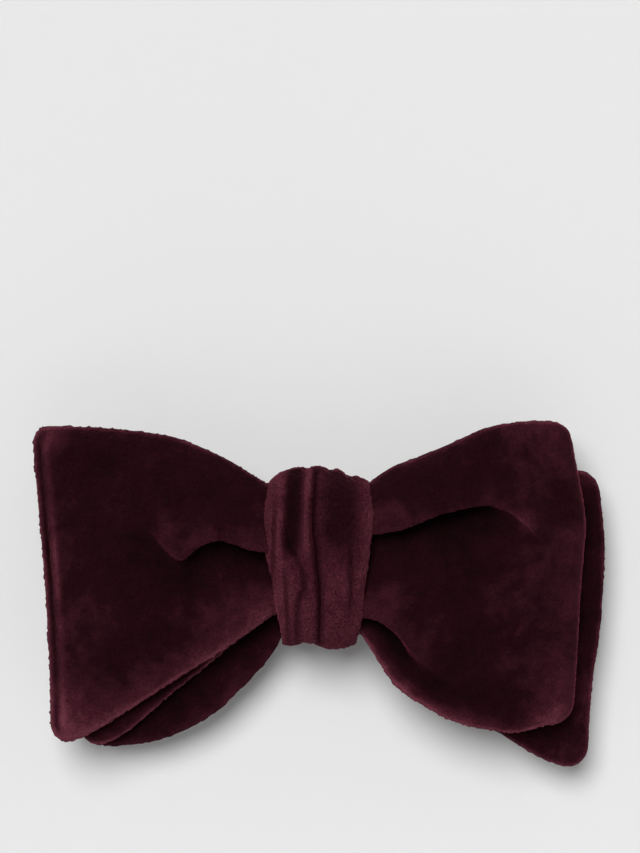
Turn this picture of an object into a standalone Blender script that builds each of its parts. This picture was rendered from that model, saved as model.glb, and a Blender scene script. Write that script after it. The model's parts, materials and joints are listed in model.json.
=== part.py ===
"""Velvet butterfly bow tie, lying on its back with its adjustable neckband folded flat behind it.

Frame: origin on the surface that it lies on, under the middle of the bow; +X to the right of the
bow as it is seen from the front, +Y to the top of the bow, +Z out of its front.
Lengths below are in millimetres, and mm() turns them into metres.
"""
import math

import bmesh
import bpy
from mathutils import Vector

# ---- driving dimensions (mm) ----
LEAF = 2.3                  # velvet + interlining + velvet, sewn
VELVET_OUTER = (0.0, 0.7)   # depth of each layer below the outer face of a leaf
INTERLINING = (1.0, 1.4)
VELVET_INNER = (1.7, LEAF)
BACK_LEVEL = 8.4            # lowest face of the lobes, clear of the folded neckband
WAIST_HALF = 3.0            # the lobes start this far from the middle
STEPS_LONG = 9              # grid of a leaf, knot to outer edge
STEPS_WIDE = 6              # grid of a leaf, bottom to top
STEPS_TURN = 5              # grid of a loop's outer fold

BAND_WIDTH = 12.0
BAND_THICK = 0.8
BAND_Y = 7.3                # centre line of the run that passes through the knot
BAND_Z = 7.4
FOLD_X = 53.0               # the neckband turns back this far from the middle
LANE_SHIFT = 7.4            # the folded runs lie side by side, this far from BAND_Y at the middle
LANE_ANGLE = math.atan(LANE_SHIFT / FOLD_X)
FLOOR_Z = BAND_THICK / 2    # centre height of a run that lies on the surface
BAR_Z = 2.15                # height of the bars of hook and eye
LOOP_R = 1.75               # centre line of the band round those bars
UPPER_Z = BAR_Z + LOOP_R
JOIN = 0.3                  # gap between pieces that touch

EYE_S = 95.0                # distance of the eye's bar from the left fold, along the band
HOOK_S = 97.0               # distance of the hook's bar from the right fold
SLIDER_S = 19.0             # distance of the slider's middle bar from the right fold
END_LEG = 4.0               # length of the leg of the band's loop at hook and slider

KNOT_Y = 7.9
KNOT_HALF_Y = 18.8
KNOT_BACK_Z = 5.9
KNOT_FRONT_Z = 23.5
KNOT_Z = (KNOT_BACK_Z + KNOT_FRONT_Z) / 2
KNOT_HALF_Z = (KNOT_FRONT_Z - KNOT_BACK_Z) / 2
KNOT_VELVET = 0.8


def mm(x, y, z):
    """A point given in millimetres, in metres."""
    return Vector((x, y, z)) / 1000.0


# ---- scene, materials and pivots ----
for old in list(bpy.data.objects):
    bpy.data.objects.remove(old, do_unlink=True)


def make_material(name, colour, roughness, metallic=0.0):
    material = bpy.data.materials.new(name)
    material.use_nodes = True
    shader = material.node_tree.nodes["Principled BSDF"]
    shader.inputs["Base Color"].default_value = (*colour, 1.0)
    shader.inputs["Roughness"].default_value = roughness
    shader.inputs["Metallic"].default_value = metallic
    material.diffuse_color = (*colour, 1.0)
    return material


VELVET = ("velvet", (0.035, 0.008, 0.012), 0.9, 0.0)
INTERLINING_CLOTH = ("interlining", (0.60, 0.57, 0.50), 0.95, 0.0)
WADDING = ("wadding", (0.75, 0.73, 0.68), 1.0, 0.0)
SATIN = ("band_satin", (0.05, 0.010, 0.016), 0.45, 0.0)
METAL = ("nickel", (0.70, 0.70, 0.72), 0.25, 1.0)
THREAD = ("thread", (0.06, 0.014, 0.020), 0.7, 0.0)

PIVOT_AT = {}


def make_pivot(name, at, parent=None):
    """An empty on a joint's axis, at a world position."""
    empty = bpy.data.objects.new(name, None)
    empty.empty_display_size = 0.01
    bpy.context.collection.objects.link(empty)
    PIVOT_AT[name] = at
    if parent:
        empty.parent = bpy.data.objects[parent]
        empty.location = at - PIVOT_AT[parent]
    else:
        empty.location = at
    return empty


def finish_object(name, mesh_maker, look, pivot, smooth=40):
    """Makes the object from a bmesh in world metres, hung on its pivot."""
    bm = mesh_maker
    bmesh.ops.recalc_face_normals(bm, faces=bm.faces)
    bmesh.ops.translate(bm, verts=bm.verts, vec=-PIVOT_AT[pivot])
    mesh = bpy.data.meshes.new(name)
    bm.to_mesh(mesh)
    bm.free()
    mesh.shade_smooth()
    mesh.set_sharp_from_angle(angle=math.radians(smooth))
    mesh.materials.append(make_material(name + "_" + look[0], *look[1:]))
    thing = bpy.data.objects.new(name, mesh)
    bpy.context.collection.objects.link(thing)
    thing.parent = bpy.data.objects[pivot]
    return thing


# ---- shapes ----
def smooth_curve(points):
    """A function y(x) through a few (x, y) points, with the slopes of their neighbours."""
    points = sorted(points)

    def slope(i):
        a = points[max(i - 1, 0)]
        b = points[min(i + 1, len(points) - 1)]
        return (b[1] - a[1]) / (b[0] - a[0])

    def value(x):
        x = min(max(x, points[0][0]), points[-1][0])
        i = max(j for j in range(len(points) - 1) if points[j][0] <= x)
        (x0, y0), (x1, y1) = points[i], points[i + 1]
        span = x1 - x0
        t = (x - x0) / span
        return ((2 * t**3 - 3 * t**2 + 1) * y0 + (t**3 - 2 * t**2 + t) * span * slope(i)
                + (3 * t**2 - 2 * t**3) * y1 + (t**3 - t**2) * span * slope(i + 1))

    return value


def sheet_solid(grid, near, far):
    """A closed sheet between two depths below a grid of points (mm), rows along the leaf."""
    rows, columns = len(grid), len(grid[0])

    def normal(i, j):
        along = grid[min(i + 1, rows - 1)][j] - grid[max(i - 1, 0)][j]
        across = grid[i][min(j + 1, columns - 1)] - grid[i][max(j - 1, 0)]
        return along.cross(across).normalized()

    normals = [[normal(i, j) for j in range(columns)] for i in range(rows)]
    if normals[1][columns // 2].z < 0:
        normals = [[-n for n in row] for row in normals]
    bm = bmesh.new()
    skins = []
    for depth in (near, far):
        skins.append([[bm.verts.new(mm(*(grid[i][j] - normals[i][j] * depth)))
                       for j in range(columns)] for i in range(rows)])
    for skin in skins:
        for i in range(rows - 1):
            for j in range(columns - 1):
                bm.faces.new((skin[i][j], skin[i + 1][j], skin[i + 1][j + 1], skin[i][j + 1]))
    edge = [(i, 0) for i in range(rows)] + [(rows - 1, j) for j in range(1, columns)]
    edge += [(i, columns - 1) for i in range(rows - 2, -1, -1)] + [(0, j) for j in range(columns - 2, 0, -1)]
    for (i, j), (k, m) in zip(edge, edge[1:] + edge[:1]):
        bm.faces.new((skins[0][i][j], skins[0][k][m], skins[1][k][m], skins[1][i][j]))
    return bm


def loft(sections, closed=False):
    """A closed body through sections of equally many points (mm); a ring if closed."""
    bm = bmesh.new()
    rings = [[bm.verts.new(mm(*p)) for p in section] for section in sections]
    count = len(rings[0])
    pairs = list(zip(rings, rings[1:]))
    if closed:
        pairs.append((rings[-1], rings[0]))
    for a, b in pairs:
        for k in range(count):
            m = (k + 1) % count
            bm.faces.new((a[k], a[m], b[m], b[k]))
    if not closed:
        bm.faces.new(rings[0])
        bm.faces.new(rings[-1])
    return bm


def tube(points, radius, sides=6, closed=False):
    """A round thread or wire along a list of points (mm)."""
    sections = []
    last = len(points) - 1
    for i, p in enumerate(points):
        if closed:
            ahead = (points[(i + 1) % len(points)] - points[i - 1]).normalized()
        else:
            ahead = (points[min(i + 1, last)] - points[max(i - 1, 0)]).normalized()
        side = ahead.cross(Vector((0, 0, 1)))
        if side.length < 0.2:
            side = ahead.cross(Vector((1, 0, 0)))
        side.normalize()
        up = side.cross(ahead)
        turns = [math.tau * k / sides for k in range(sides)]
        sections.append([p + radius * (side * math.cos(a) + up * math.sin(a)) for a in turns])
    return loft(sections, closed)


def left_lane(s, t, z):
    """s along the band from the left fold, t across it; the left run lies towards +X."""
    c, d = math.cos(LANE_ANGLE), math.sin(LANE_ANGLE)
    return Vector((-FOLD_X + s * c - t * d, BAND_Y + s * d + t * c, z))


def right_lane(s, t, z):
    """The same from the right fold: the left lane turned half round the bow's middle."""
    p = left_lane(s, t, z)
    return Vector((-p.x, 2 * BAND_Y - p.y, p.z))


def band(path, lane, thick=BAND_THICK, width=BAND_WIDTH):
    """A flat band along a path of (s, z) centre points, in a lane's own coordinates."""
    last = len(path) - 1
    sections = []
    for i, (s, z) in enumerate(path):
        ds = path[min(i + 1, last)][0] - path[max(i - 1, 0)][0]
        dz = path[min(i + 1, last)][1] - path[max(i - 1, 0)][1]
        size = math.hypot(ds, dz)
        ns, nz = -dz / size * thick / 2, ds / size * thick / 2
        half = width / 2
        sections.append([lane(s + ns, -half, z + nz), lane(s + ns, half, z + nz),
                         lane(s - ns, half, z - nz), lane(s - ns, -half, z - nz)])
    return loft(sections)


def arc(s, z, radius, start, end, steps):
    """Points of a circle from angle start to end, in degrees, 0 along +s and 90 along +z."""
    angles = [math.radians(start + (end - start) * k / steps) for k in range(steps + 1)]
    return [(s + radius * math.cos(a), z + radius * math.sin(a)) for a in angles]


def plate(outline, holes, z0, z1, lane):
    """A flat plate with holes: outlines of (s, t) points, between two heights."""
    bm = bmesh.new()
    edges = []
    for ring in [outline] + holes:
        verts = [bm.verts.new((s, t, z0)) for s, t in ring]
        edges += [bm.edges.new((a, b)) for a, b in zip(verts, verts[1:] + verts[:1])]
    flat = bmesh.ops.triangle_fill(bm, edges=edges, use_beauty=True, use_dissolve=False)
    faces = [f for f in flat["geom"] if isinstance(f, bmesh.types.BMFace)]
    raised = bmesh.ops.extrude_face_region(bm, geom=faces)
    top = [v for v in raised["geom"] if isinstance(v, bmesh.types.BMVert)]
    bmesh.ops.translate(bm, verts=top, vec=(0, 0, z1 - z0))
    for v in bm.verts:
        v.co = mm(*lane(*v.co))
    return bm


def rounded_box(s0, s1, t_half, radius, steps=4):
    """Outline of a rectangle with round corners, in (s, t)."""
    points = []
    corners = ((s1, t_half, 0), (s0, t_half, 90), (s0, -t_half, 180), (s1, -t_half, 270))
    for s, t, turn in corners:
        cs = s - radius if s == s1 else s + radius
        ct = t - radius if t > 0 else t + radius
        points += arc(cs, ct, radius, turn, turn + 90, steps)
    return points


def join_with(body, *others):
    """Boolean union of bodies into the first one."""
    for other in others:
        cut = body.modifiers.new("join", "BOOLEAN")
        cut.operation = "UNION"
        cut.solver = "EXACT"
        cut.object = other
        other.hide_render = True
        other.display_type = "WIRE"


# ---- the pivots of the moving pieces ----
make_pivot("bow_frame", mm(0, 0, 0))
make_pivot("left_fold_axis", mm(-FOLD_X, BAND_Y, (BAND_Z + FLOOR_Z) / 2), "bow_frame")
make_pivot("right_fold_axis", mm(FOLD_X, BAND_Y, (BAND_Z + UPPER_Z) / 2), "bow_frame")
make_pivot("eye_axis", mm(*left_lane(EYE_S, 0, BAR_Z)), "left_fold_axis")
make_pivot("loop_slide", mm(*right_lane(HOOK_S, 0, BAR_Z)), "right_fold_axis")
make_pivot("hook_axis", mm(*right_lane(HOOK_S, 0, BAR_Z)), "loop_slide")
make_pivot("slider_slide", mm(*right_lane(SLIDER_S, 0, BAR_Z)), "loop_slide")


# ---- lobes ----
def leaf_grid(top, bottom, outer, height, side):
    """Grid of a leaf's outer face: x from the waist to the outer edge, y from bottom to top."""
    grid = []
    for i in range(STEPS_LONG + 1):
        u = i / STEPS_LONG
        row = []
        for j in range(STEPS_WIDE + 1):
            v = 2 * j / STEPS_WIDE - 1
            x = side * (WAIST_HALF + (outer(v) - WAIST_HALF) * u)
            y = bottom(abs(x)) + (top(abs(x)) - bottom(abs(x))) * (v + 1) / 2
            row.append(Vector((x, y, height(u, v))))
        grid.append(row)
    return grid


def loop_grid(top, bottom, outer, front, back, side):
    """Grid of a folded loop's outer face: out along the front, round the fold, back behind."""
    radius = (front(1, 0) - back) / 2

    def inset(v):
        return outer(v) - radius

    out = leaf_grid(top, bottom, inset, front, side)
    home = leaf_grid(top, bottom, inset, lambda u, v: back, side)[::-1]
    turn = []
    for k in range(1, STEPS_TURN + 1):
        angle = math.pi * k / (STEPS_TURN + 1)
        row = []
        for p, q in zip(out[-1], home[0]):
            middle = (p + q) / 2
            reach = side * radius * math.sin(angle)
            row.append(Vector((middle.x + reach, middle.y, middle.z + (p.z - q.z) / 2 * math.cos(angle))))
        turn.append(row)
    return out + turn + home


LEVEL_SHARE = 0.16          # share of a leaf that stays level inside the knot


def crowned(waist, crown, edge, droop):
    """Height of a leaf: waist at the knot, highest half-way out, edge at the outer side.

    droop is the share of the crown that its upper and lower edges lose.
    """
    line = smooth_curve([(0.0, waist), (LEVEL_SHARE, waist), (0.5, crown), (0.8, (crown + 2 * edge) / 3), (1.0, edge)])

    def height(u, v):
        out = max(u - LEVEL_SHARE, 0.0) / (1 - LEVEL_SHARE)
        fall = (crown - waist) * droop * v * v * math.sin(math.pi * out)
        return line(u) - fall

    return height


def make_lobe(name, grid, names):
    for layer, (near, far), look in zip(names, (VELVET_OUTER, INTERLINING, VELVET_INNER),
                                        (VELVET, INTERLINING_CLOTH, VELVET)):
        finish_object(name + "_" + layer, sheet_solid(grid, near, far), look, "bow_frame")


WING_LAYERS = ("face", "interlining", "backing")
LOOP_LAYERS = ("outer", "interlining", "inner")

BACK_LOOP_TOP = BACK_LEVEL + 5.1
FRONT_WING_WAIST = BACK_LOOP_TOP + LEAF + 0.5
BACK_WING_TOP = BACK_LEVEL + LEAF
FRONT_LOOP_BACK = BACK_WING_TOP + 0.5

front_left = leaf_grid(
    top=smooth_curve([(3, 21), (11.4, 22.3), (23.6, 30.2), (39.8, 34), (56, 35.1), (60, 35)]),
    bottom=smooth_curve([(3, -2), (10, -4.5), (27.8, -17.4), (39.8, -25), (50, -30.5), (60, -31)]),
    outer=smooth_curve([(-1, 55.5), (0, 57.5), (1, 60)]),
    height=crowned(FRONT_WING_WAIST, 21.6, 18.4, 0.12), side=-1)
make_lobe("front_left_wing", front_left, WING_LAYERS)

back_left = loop_grid(
    top=smooth_curve([(3, 20.5), (11, 21), (25, 26), (40, 28), (52, 28)]),
    bottom=smooth_curve([(3, -5), (9, -7), (15.2, -18), (22.4, -25.4), (29.9, -29.6), (38.3, -31.9), (52, -31.5)]),
    outer=smooth_curve([(-1, 49), (0, 51.5), (1, 50)]),
    front=crowned(BACK_LOOP_TOP, BACK_LOOP_TOP + 0.8, BACK_LOOP_TOP + 0.4, 0.5), back=BACK_LEVEL, side=-1)
make_lobe("back_left_loop", back_left, LOOP_LAYERS)

front_right = loop_grid(
    top=smooth_curve([(3, 20.5), (11.2, 22.8), (21.1, 28.8), (28, 31.7), (36, 34.9), (48.4, 36.2), (55, 36)]),
    bottom=smooth_curve([(3, -5), (9, -6.5), (15.4, -17.5), (21.1, -22.9), (28, -26.5), (40.6, -28.8), (55, -27)]),
    outer=smooth_curve([(-1, 53), (0, 55.3), (1, 52.5)]),
    front=crowned(FRONT_WING_WAIST, 22.6, 19.0, 0.4), back=FRONT_LOOP_BACK, side=1)
make_lobe("front_right_loop", front_right, LOOP_LAYERS)

back_right = leaf_grid(
    top=smooth_curve([(3, 19), (11, 19.5), (30, 24), (54, 25.6), (60, 25)]),
    bottom=smooth_curve([(3, -4), (9, -6), (25, -20), (37.3, -29.2), (48.4, -35.5), (60, -36.2)]),
    outer=smooth_curve([(-1, 56.5), (0, 60), (1, 58.5)]),
    height=lambda u, v: BACK_WING_TOP, side=1)
make_lobe("back_right_wing", back_right, WING_LAYERS)


# ---- waist and knot ----
def knot_point(angle, inset):
    """A point (y, z) of the knot's section, inset from its outside; squarer behind than in front."""
    c, d = math.cos(angle), math.sin(angle)
    power = 2.5 if d >= 0 else 6.0
    y = KNOT_Y + (KNOT_HALF_Y - inset) * math.copysign(abs(c) ** (2 / power), c)
    z = KNOT_Z + (KNOT_HALF_Z - inset) * math.copysign(abs(d) ** (2 / power), d)
    return y, z


KNOT_HALF_WIDTH = smooth_curve([(-11, 7.6), (-1, 9.3), (6, 10.6), (13, 11.4), (27, 11.2)])
KNOT_STEPS = 40


def knot_shell(outer_inset, inner_inset, start, end, steps, narrow=0.0, closed=False):
    """A shell of the knot between two insets, from one angle to another (degrees)."""
    sections = []
    for k in range(steps if closed else steps + 1):
        angle = math.radians(start + (end - start) * k / steps)
        y0, z0 = knot_point(angle, outer_inset)
        y1, z1 = knot_point(angle, inner_inset)
        half = KNOT_HALF_WIDTH(y0) - narrow
        rim = 0.35 * half / 10
        yc, zc = (y0 + y1) / 2, (z0 + z1) / 2
        sections.append([Vector(p) for p in (
            (-half + rim, y0, z0), (half - rim, y0, z0), (half, yc, zc),
            (half - rim, y1, z1), (-half + rim, y1, z1), (-half, yc, zc))])
    return loft(sections, closed)


finish_object("knot_wrap", knot_shell(0, KNOT_VELVET, 0, 360, KNOT_STEPS, closed=True), VELVET, "bow_frame")

WADDING_DEPTH = 2.6
WADDING_OUT = KNOT_VELVET + JOIN
finish_object("knot_wadding",
              knot_shell(WADDING_OUT, WADDING_OUT + WADDING_DEPTH, 40, 140, 16, narrow=1.5), WADDING, "bow_frame")


def waist_section(grow):
    """Section of the gathered waist in (y, z), grown outwards."""
    half_y, half_z = 13.5 + grow, 4.1 + grow
    middle_z = BACK_LEVEL - JOIN + 4.1
    points = []
    for k in range(24):
        c, d = math.cos(math.tau * k / 24), math.sin(math.tau * k / 24)
        points.append((KNOT_Y - 0.4 + half_y * math.copysign(abs(c) ** 0.6, c),
                       middle_z + half_z * math.copysign(abs(d) ** 0.6, d)))
    return points


WAIST_MIDDLE = WAIST_HALF - JOIN
finish_object("waist_core",
              loft([[Vector((x, y, z)) for y, z in waist_section(grow)]
                    for x, grow in ((-WAIST_MIDDLE, 0.0), (-1.0, -0.9), (1.0, -0.9), (WAIST_MIDDLE, 0.0))]),
              VELVET, "bow_frame")
THREAD_R = 0.3
finish_object("waist_binding",
              tube([Vector((0, y, z)) for y, z in waist_section(-0.9 + JOIN + THREAD_R)], THREAD_R, closed=True),
              THREAD, "bow_frame")


def zigzag(place, length, reach, stitches, z):
    """A thread sewn to and fro: place(a, b, z) with a along the seam and b across it."""
    return [place(length * (k / stitches - 0.5), reach * (1 if k % 2 else -1), z) for k in range(stitches + 1)]


SEAM_Y = 17.0
finish_object("knot_back_seam",
              tube(zigzag(lambda a, b, z: Vector((a, SEAM_Y + b, z)), 17.0, 1.1, 14,
                          KNOT_BACK_Z - JOIN - THREAD_R), THREAD_R), THREAD, "bow_frame")


# ---- neckband ----
def middle_lane(s, t, z):
    return Vector((s, BAND_Y + t, z))


def fold_turn(lane_side, top_z, low_z, steps=8):
    """The band where it turns back on itself, from the run through the knot to its own lane."""
    radius, centre = (top_z - low_z) / 2, (top_z + low_z) / 2
    half_turn = LANE_ANGLE / 2
    out = Vector((-math.cos(half_turn), -math.sin(half_turn), 0)) * -lane_side
    sections = []
    for k in range(steps + 1):
        share = k / steps
        angle = math.pi * share
        spin = LANE_ANGLE * share
        across = Vector((-math.sin(spin), math.cos(spin), 0))
        ray = out * math.sin(angle) + Vector((0, 0, math.cos(angle)))
        middle = Vector((lane_side * FOLD_X, BAND_Y, centre))
        inner, outer = radius - BAND_THICK / 2, radius + BAND_THICK / 2
        half = across * BAND_WIDTH / 2
        sections.append([middle + ray * outer - half, middle + ray * outer + half,
                         middle + ray * inner + half, middle + ray * inner - half])
    return loft(sections)


RUN_GAP = 1.0
finish_object("neckband_center",
              band([(x, BAND_Z) for x in (-FOLD_X + RUN_GAP, -26, 0, 26, FOLD_X - RUN_GAP)], middle_lane),
              SATIN, "bow_frame")
finish_object("left_band_turn", fold_turn(-1, BAND_Z, FLOOR_Z), SATIN, "left_fold_axis")
finish_object("right_band_turn", fold_turn(1, BAND_Z, UPPER_Z), SATIN, "right_fold_axis")

TAIL_Z = FLOOR_Z + BAND_THICK + JOIN
EYE_TAIL = 13.0


def sewn_tail(bar_s, bar_z, radius, length):
    """Upper leg of a loop round a bar, coming down to lie on the run and be sewn to it."""
    return [(bar_s - length * 0.3, bar_z + radius - 0.5 * (bar_z + radius - TAIL_Z)),
            (bar_s - length * 0.5, TAIL_Z), (bar_s - length, TAIL_Z)]


left_path = [(s, FLOOR_Z) for s in (RUN_GAP, 30, 60, EYE_S - 2)]
left_path += arc(EYE_S, BAR_Z, LOOP_R, -90, 90, 8) + sewn_tail(EYE_S, BAR_Z, LOOP_R, EYE_TAIL)
finish_object("left_band", band(left_path, left_lane), SATIN, "left_fold_axis")


def bar_tack(lane, s):
    """Thread that sews a band's end down, across the band."""
    path = zigzag(lambda a, b, z: lane(s + b, a, z), 9.0, 0.8, 12, TAIL_Z + BAND_THICK / 2 + JOIN + 0.25)
    return tube(path, 0.25)


finish_object("eye_bar_tack", bar_tack(left_lane, EYE_S - EYE_TAIL + 3), THREAD, "left_fold_axis")

LEG_END = HOOK_S - END_LEG
finish_object("right_band", band([(s, UPPER_Z) for s in (RUN_GAP, 30, 60, LEG_END - JOIN)], right_lane),
              SATIN, "right_fold_axis")
hook_loop_path = [(LEG_END, UPPER_Z)] + arc(HOOK_S, BAR_Z, LOOP_R, 90, -90, 8) + [(LEG_END, FLOOR_Z)]
finish_object("hook_loop", band(hook_loop_path, right_lane), SATIN, "loop_slide")

SLIDER_BAR_Z = 1.6
SLIDER_WRAP_R = SLIDER_BAR_Z - FLOOR_Z
WRAP_END = SLIDER_S + END_LEG + 1.0
SLIDER_TAIL = 9.0
wrap_path = [(WRAP_END, FLOOR_Z)] + arc(SLIDER_S, SLIDER_BAR_Z, SLIDER_WRAP_R, -90, -270, 8)
wrap_path += [(SLIDER_S + SLIDER_TAIL * 0.35, TAIL_Z + 0.5), (SLIDER_S + SLIDER_TAIL * 0.55, TAIL_Z),
              (SLIDER_S + SLIDER_TAIL, TAIL_Z)]
finish_object("slider_band_end", band(wrap_path, right_lane), SATIN, "slider_slide")
finish_object("slider_bar_tack", bar_tack(right_lane, SLIDER_S + SLIDER_TAIL - 2), THREAD, "slider_slide")
finish_object("return_band",
              band([(s, FLOOR_Z) for s in (WRAP_END + JOIN, 45, 70, LEG_END - JOIN)], right_lane),
              SATIN, "slider_slide")


# ---- metal pieces ----
PLATE_HALF = 0.6
PLATE_Z = (BAR_Z - PLATE_HALF, BAR_Z + PLATE_HALF)
BAR_HALF = 0.9
SLOT_END = 3.6              # far side of the band's slot, from the bar's middle
SLOT_HALF = BAND_WIDTH / 2 + 0.6
METAL_HALF = 7.8            # half the width of hook and eye

EYE_END = 11.8
EYE_RIM = 1.4

eye_outline = rounded_box(EYE_S - BAR_HALF, EYE_S + EYE_END, METAL_HALF, 1.6)
eye_slot = rounded_box(EYE_S + BAR_HALF, EYE_S + SLOT_END, SLOT_HALF, 0.6)
eye_window = rounded_box(EYE_S + SLOT_END + EYE_RIM, EYE_S + EYE_END - EYE_RIM, 5.0, 1.6)
finish_object("eye", plate(eye_outline, [eye_slot, eye_window], *PLATE_Z, left_lane), METAL, "eye_axis", 30)

TONGUE_HALF = 2.2
hook_outline = rounded_box(HOOK_S - BAR_HALF, HOOK_S + SLOT_END + 1.8, METAL_HALF, 1.2)
hook_slot = rounded_box(HOOK_S + BAR_HALF, HOOK_S + SLOT_END, SLOT_HALF, 0.6)
hook = finish_object("hook", plate(hook_outline, [hook_slot], *PLATE_Z, right_lane), METAL, "hook_axis", 30)
tongue_path = [(HOOK_S + SLOT_END + 1.0, BAR_Z), (HOOK_S + 8.0, BAR_Z)]
tongue_path += arc(HOOK_S + 8.0, BAR_Z + 1.45, 1.45, -90, 90, 8)[1:] + [(HOOK_S + 4.8, BAR_Z + 2.7)]
tongue = finish_object("hook_tongue_guide", band(tongue_path, right_lane, 1.2, 2 * TONGUE_HALF), METAL, "hook_axis")
join_with(hook, tongue)

SLIDER_FRAME_Z = (UPPER_Z + BAND_THICK / 2 + JOIN, UPPER_Z + BAND_THICK / 2 + JOIN + 1.0)
SLIDER_HALF_S = 4.5
SLIDER_HALF_T = 8.1
CHEEK_IN = BAND_WIDTH / 2 + 0.6
frame_outline = rounded_box(SLIDER_S - SLIDER_HALF_S, SLIDER_S + SLIDER_HALF_S, SLIDER_HALF_T, 1.2)
frame_hole = rounded_box(SLIDER_S - SLIDER_HALF_S + 1.3, SLIDER_S + SLIDER_HALF_S - 1.3, CHEEK_IN, 0.5)
slider = finish_object("slider", plate(frame_outline, [frame_hole], *SLIDER_FRAME_Z, right_lane),
                       METAL, "slider_slide", 30)
CHEEK_HALF = 0.8
cheek_guides = []
for sign, side_name in ((-1, "a"), (1, "b")):
    t0, t1 = sign * (CHEEK_IN + 0.1), sign * (SLIDER_HALF_T - 0.2)
    cheek = [(SLIDER_S - CHEEK_HALF, t0), (SLIDER_S + CHEEK_HALF, t0),
             (SLIDER_S + CHEEK_HALF, t1), (SLIDER_S - CHEEK_HALF, t1)]
    cheek_guides.append(finish_object(f"slider_cheek_guide_{side_name}",
                                      plate(cheek, [], SLIDER_BAR_Z - 0.6, SLIDER_FRAME_Z[0] + 0.5, right_lane),
                                      METAL, "slider_slide"))
bar_reach = CHEEK_IN + 0.6
bar = finish_object("slider_bar_guide",
                    tube([right_lane(SLIDER_S, -bar_reach, SLIDER_BAR_Z),
                          right_lane(SLIDER_S, bar_reach, SLIDER_BAR_Z)], 0.5, 10), METAL, "slider_slide")
join_with(slider, *cheek_guides, bar)
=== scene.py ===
"""The looks of the velvet bow tie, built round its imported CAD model."""

import json
import math

import bpy
import numpy as np
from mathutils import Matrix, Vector


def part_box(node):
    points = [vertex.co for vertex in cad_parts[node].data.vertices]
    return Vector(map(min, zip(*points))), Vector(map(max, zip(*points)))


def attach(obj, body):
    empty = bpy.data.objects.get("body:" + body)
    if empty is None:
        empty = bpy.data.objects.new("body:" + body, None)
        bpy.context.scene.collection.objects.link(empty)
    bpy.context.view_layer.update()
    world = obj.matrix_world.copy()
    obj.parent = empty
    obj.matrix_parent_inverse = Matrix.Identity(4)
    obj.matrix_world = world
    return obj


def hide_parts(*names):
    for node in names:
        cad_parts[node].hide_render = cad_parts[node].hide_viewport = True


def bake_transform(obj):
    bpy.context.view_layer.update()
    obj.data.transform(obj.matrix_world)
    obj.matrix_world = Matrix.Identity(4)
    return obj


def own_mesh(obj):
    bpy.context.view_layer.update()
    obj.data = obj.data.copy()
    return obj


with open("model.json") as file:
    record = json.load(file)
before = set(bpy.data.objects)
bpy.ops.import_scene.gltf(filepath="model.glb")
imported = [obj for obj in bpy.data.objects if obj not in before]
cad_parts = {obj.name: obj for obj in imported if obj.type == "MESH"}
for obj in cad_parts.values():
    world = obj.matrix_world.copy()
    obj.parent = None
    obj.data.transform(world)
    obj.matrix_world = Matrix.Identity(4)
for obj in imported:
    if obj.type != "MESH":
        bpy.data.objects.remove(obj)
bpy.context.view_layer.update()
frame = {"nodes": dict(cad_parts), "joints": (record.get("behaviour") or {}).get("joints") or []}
nodes = frame["nodes"]
MM = 0.001
scene = bpy.context.scene
add_to_scene = bpy.context.collection.objects.link

# ---------------- camera, floor and light
FIELD_HEIGHT = 0.1791       # metres seen from the top to the bottom of the frame
SHARP_LEVEL = 0.012         # height at which FIELD_HEIGHT is true
LENS, SENSOR = 120.0, 36.0
camera_data = bpy.data.cameras.new("camera")
camera_data.sensor_fit = "VERTICAL"
camera_data.sensor_height = SENSOR
camera_data.lens = LENS
camera_data.clip_start, camera_data.clip_end = 0.01, 20.0
camera = bpy.data.objects.new("camera", camera_data)
camera.location = (0.0, 0.035, SHARP_LEVEL + FIELD_HEIGHT * LENS / SENSOR)
add_to_scene(camera)
scene.camera = camera
scene.view_settings.view_transform = "Standard"

FLOOR_HALF, FLOOR_STEPS = 3.2, 129      # metres, and points across
FLAT_RADIUS, FLOOR_CURVE = 1.9, 0.85    # the floor curves up into a backdrop beyond this radius
FLOOR_DROP = 0.0002                     # the floor lies this far below the tie


def grid_quads(index):
    """Faces between neighbouring points of a grid of point numbers."""
    return np.stack([index[:-1, :-1], index[1:, :-1], index[1:, 1:], index[:-1, 1:]],
                    axis=-1).reshape(-1, 4)


def make_floor():
    """A floor that curves up into its own backdrop, far from the bow."""
    line = np.linspace(-FLOOR_HALF, FLOOR_HALF, FLOOR_STEPS)
    x, y = np.meshgrid(line, line, indexing="ij")
    z = FLOOR_CURVE * np.clip(np.hypot(x, y) - FLAT_RADIUS, 0, None) ** 2 - FLOOR_DROP
    faces = grid_quads(np.arange(x.size).reshape(x.shape))
    mesh = bpy.data.meshes.new("floor")
    mesh.from_pydata(np.stack([x, y, z], axis=-1).reshape(-1, 3).tolist(), [], faces.tolist())
    mesh.shade_smooth()
    return bpy.data.objects.new("floor", mesh)


floor = make_floor()
add_to_scene(floor)


def sun(name, at, strength, softness):
    """A distant, very soft light, from a place towards the bow; softness is its width in degrees."""
    data = bpy.data.lights.new(name, "SUN")
    data.energy = strength
    data.angle = math.radians(softness)
    light = bpy.data.objects.new(name, data)
    light.location = at
    light.rotation_euler = (Vector((0, 0, 0.01)) - Vector(at)).to_track_quat("-Z", "Y").to_euler()
    add_to_scene(light)


sun("key", (-0.22, 0.46, 1.05), 2.52, 34)
sun("low_fill", (0.10, -1.0, 0.80), 0.15, 50)
world = bpy.data.worlds.new("studio")
world.use_nodes = True
world.node_tree.nodes["Background"].inputs["Color"].default_value = (1, 1, 1, 1)
world.node_tree.nodes["Background"].inputs["Strength"].default_value = 0.15
scene.world = world


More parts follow.
